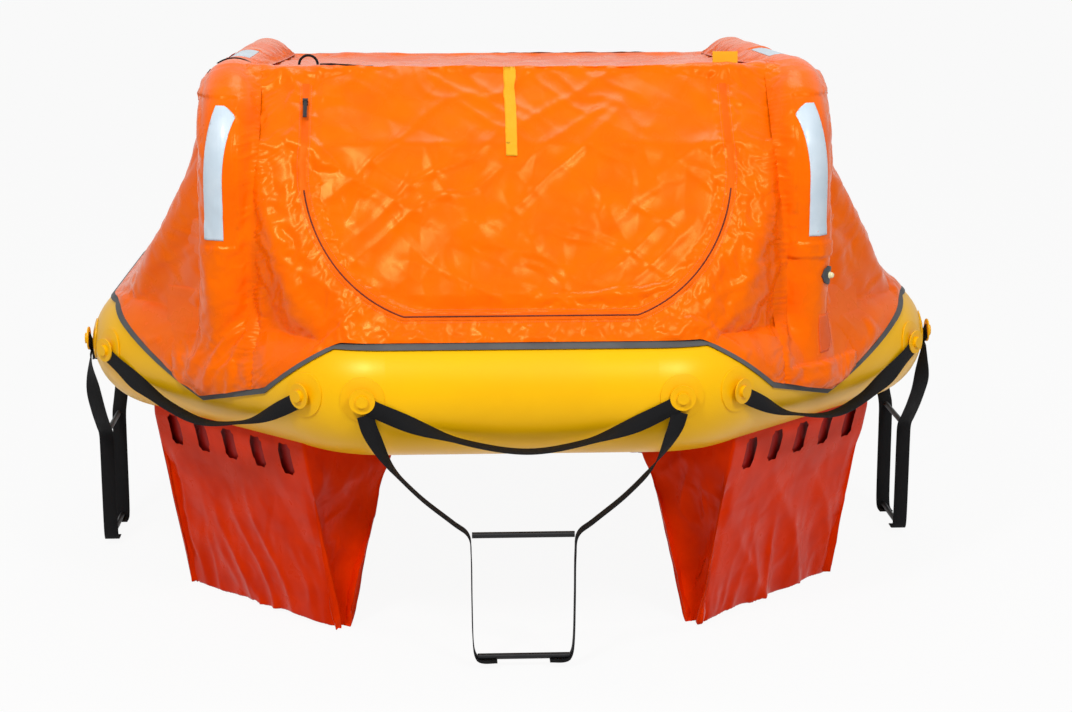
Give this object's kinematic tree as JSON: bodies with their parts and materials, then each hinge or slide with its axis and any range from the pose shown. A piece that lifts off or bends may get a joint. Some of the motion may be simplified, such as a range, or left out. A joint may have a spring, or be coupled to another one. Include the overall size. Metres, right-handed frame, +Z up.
{
  "type": "inflatable liferaft",
  "caption": "Inflated liferaft: octagonal buoyancy tube, arched orange canopy with a zipped entrance, lifelines, boarding ladders and water pockets.",
  "frame": {"origin": "centre of the octagonal raft on the plane of the buoyancy tube's underside", "axes": "+Z up; the entrance faces -Y; +X to the right of someone who looks at the entrance"},
  "size_m": [2.184, 2.2131, 1.3563],
  "materials": {
    "hull_yellow": "satin coated fabric",
    "floor_fabric": "satin coated fabric",
    "canopy_orange": "coated nylon with a soft sheen",
    "pocket_orange": "coated nylon, matt",
    "trim_grey": "matt tape",
    "zip_tape": "woven tape with a moulded coil",
    "slider_metal": "satin",
    "strap_yellow": "woven webbing",
    "reflective": "retroreflective film",
    "webbing_black": "woven webbing",
    "lamp_grey": "matt",
    "lens_cream": "clear gloss",
    "patch_yellow": "satin",
    "hose_black": "satin",
    "rung_black": "satin",
    "bottle_grey": "satin paint",
    "valve_brass": "machined",
    "steel": "brushed",
    "valve_plastic": "satin",
    "bag_cloth": "coated nylon"
  },
  "bodies": {
    "raft": {"buoyancy_tube": "hull_yellow", "floor_panel": "floor_fabric", "arch_tube_left": "canopy_orange", "arch_tube_right": "canopy_orange", "canopy_cover": "canopy_orange", "door_flap": "canopy_orange", "door_zip": "zip_tape", "edge_trim": "trim_grey", "door_tie_strap": "strap_yellow", "reflective_tapes": "reflective", "arch_band": "webbing_black", "lamp_base": "lamp_grey", "lamp_lens": "lens_cream", "label_patch": "canopy_orange", "roof_strap": "webbing_black", "roof_loop": "webbing_black", "roof_tab": "strap_yellow", "lifeline_patches": "patch_yellow", "lifeline_buttons": "patch_yellow", "gas_cylinder": "bottle_grey", "cylinder_head": "valve_brass", "cylinder_straps": "webbing_black", "inflation_pipe": "hose_black", "inlet_valve": "valve_brass", "topping_valve": "valve_plastic", "relief_valve": "valve_plastic", "equipment_bag": "bag_cloth", "painter_patch": "patch_yellow", "painter_eye": "steel", "lifeline_front": "webbing_black", "lifeline_front_right": "webbing_black", "lifeline_right": "webbing_black", "lifeline_back_right": "webbing_black", "lifeline_back": "webbing_black", "lifeline_back_left": "webbing_black", "lifeline_left": "webbing_black", "lifeline_front_left": "webbing_black", "ladder_webbing_front": "webbing_black", "ladder_upper_rung_front": "rung_black", "ladder_lower_rung_front": "rung_black", "ladder_webbing_right": "webbing_black", "ladder_upper_rung_right": "rung_black", "ladder_lower_rung_right": "rung_black", "ladder_webbing_left": "webbing_black", "ladder_upper_rung_left": "rung_black", "ladder_lower_rung_left": "rung_black", "pocket_front_right": "pocket_orange", "pocket_back_right": "pocket_orange", "pocket_back_left": "pocket_orange", "pocket_front_left": "pocket_orange"},
    "slider": {"zip_slider": "slider_metal"},
    "pull": {"zip_pull": "slider_metal"},
    "cap": {"valve_cap": "valve_plastic"}
  },
  "joints": [
    {"name": "zip_slide", "type": "slide", "parent": "raft", "child": "slider", "axis": [0, -0.7028, -0.7114], "range_m": [0, 0.11]},
    {"name": "pull_swing", "type": "hinge", "parent": "slider", "child": "pull", "pos_m": [-0.49, -0.69359, 0.79249], "axis": [-1, 0, 0], "range_deg": [0, 165]},
    {"name": "cap_turn", "type": "hinge", "parent": "raft", "child": "cap", "pos_m": [-0.15, 0.75, 0.15], "axis": [0, -1, 0], "range_deg": [0, 340]}
  ]
}
